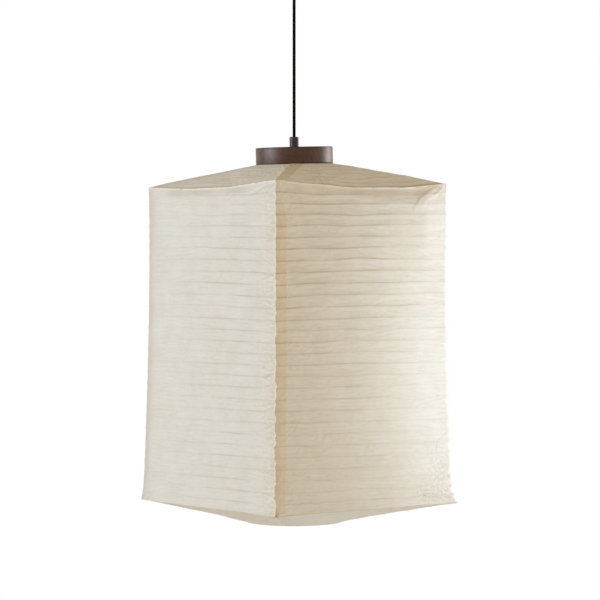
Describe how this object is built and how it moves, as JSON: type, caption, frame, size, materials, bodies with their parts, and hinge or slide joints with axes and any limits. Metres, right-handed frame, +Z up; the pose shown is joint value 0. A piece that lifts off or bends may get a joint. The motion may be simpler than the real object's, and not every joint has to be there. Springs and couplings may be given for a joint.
{
  "type": "pendant lamp",
  "caption": "Square pendant lamp with a ribbed cream paper shade under a turned walnut disc, hung on a black textile cord from a round ceiling canopy.",
  "frame": {"origin": "centre of the ceiling bracket's screw pattern, on the ceiling plane", "axes": "+Z up, along the cord's axis and out of the ceiling face; the shade's walls face -Y (front), +X (right), +Y and -X"},
  "size_m": [0.4286, 0.4286, 1.0607],
  "materials": {
    "galvanised steel": "satin",
    "bronze lacquer": "satin",
    "terminal plastic": "matte",
    "textile cord": "matte",
    "walnut": "satin",
    "holder plastic": "satin",
    "porcelain": "satin",
    "brass": "satin",
    "nickelled cap": "satin",
    "bulb insulator": "gloss",
    "bulb housing": "satin",
    "opal diffuser": "satin",
    "white wire": "satin",
    "split cane": "matte",
    "washi paper": "matte"
  },
  "bodies": {
    "ceiling_fitting": {"ceiling_bracket": "galvanised steel", "canopy_cup": "bronze lacquer", "canopy_screws": "bronze lacquer", "terminal_block": "terminal plastic", "terminal_screws": "galvanised steel", "canopy_nipple": "galvanised steel", "canopy_nut": "galvanised steel", "canopy_grip": "bronze lacquer", "canopy_grip_screw": "galvanised steel", "cord_tail": "textile cord"},
    "cord_bend_body": {"cord_bend": "textile cord"},
    "cord_body": {"cord_drop": "textile cord"},
    "lamp": {"cap_nipple": "galvanised steel", "cap_washer": "galvanised steel", "cap_nut": "galvanised steel", "cap_grip_screw": "galvanised steel", "cap_grip": "bronze lacquer", "cap_disc": "walnut", "holder_cap": "holder plastic", "holder_skirt": "holder plastic", "holder_insert": "porcelain", "screw_shell": "brass", "centre_contact": "brass", "carrier_plate": "white wire", "stretcher_leg_right": "white wire", "stretcher_leg_left": "white wire", "top_hoop": "white wire", "bottom_hoop": "white wire", "roof_ribs": "split cane", "eave_rib": "split cane", "wall_ribs": "split cane", "base_rib": "split cane", "floor_ribs": "split cane", "paper_front": "washi paper", "paper_right": "washi paper", "paper_back": "washi paper", "paper_left": "washi paper"},
    "bulb": {"bulb_tip": "nickelled cap", "bulb_insulator": "bulb insulator", "bulb_screw_cap": "nickelled cap", "bulb_housing": "bulb housing", "bulb_globe": "opal diffuser"}
  },
  "joints": [
    {"name": "swing_x", "type": "hinge", "parent": "ceiling_fitting", "child": "cord_bend_body", "pos_m": [0, 0, -0.05], "axis": [1, 0, 0], "range_deg": [-20, 20]},
    {"name": "swing_y", "type": "hinge", "parent": "cord_bend_body", "child": "cord_body", "pos_m": [0, 0, -0.05], "axis": [0, 1, 0], "range_deg": [-20, 20]},
    {"name": "lamp_twist", "type": "hinge", "parent": "cord_body", "child": "lamp", "pos_m": [0, 0, -0.335], "axis": [0, 0, 1], "range_deg": [-180, 180]},
    {"name": "bulb_unscrew", "type": "slide", "parent": "lamp", "child": "bulb", "axis": [0, 0, -1], "range_m": [0, 0.035]}
  ]
}
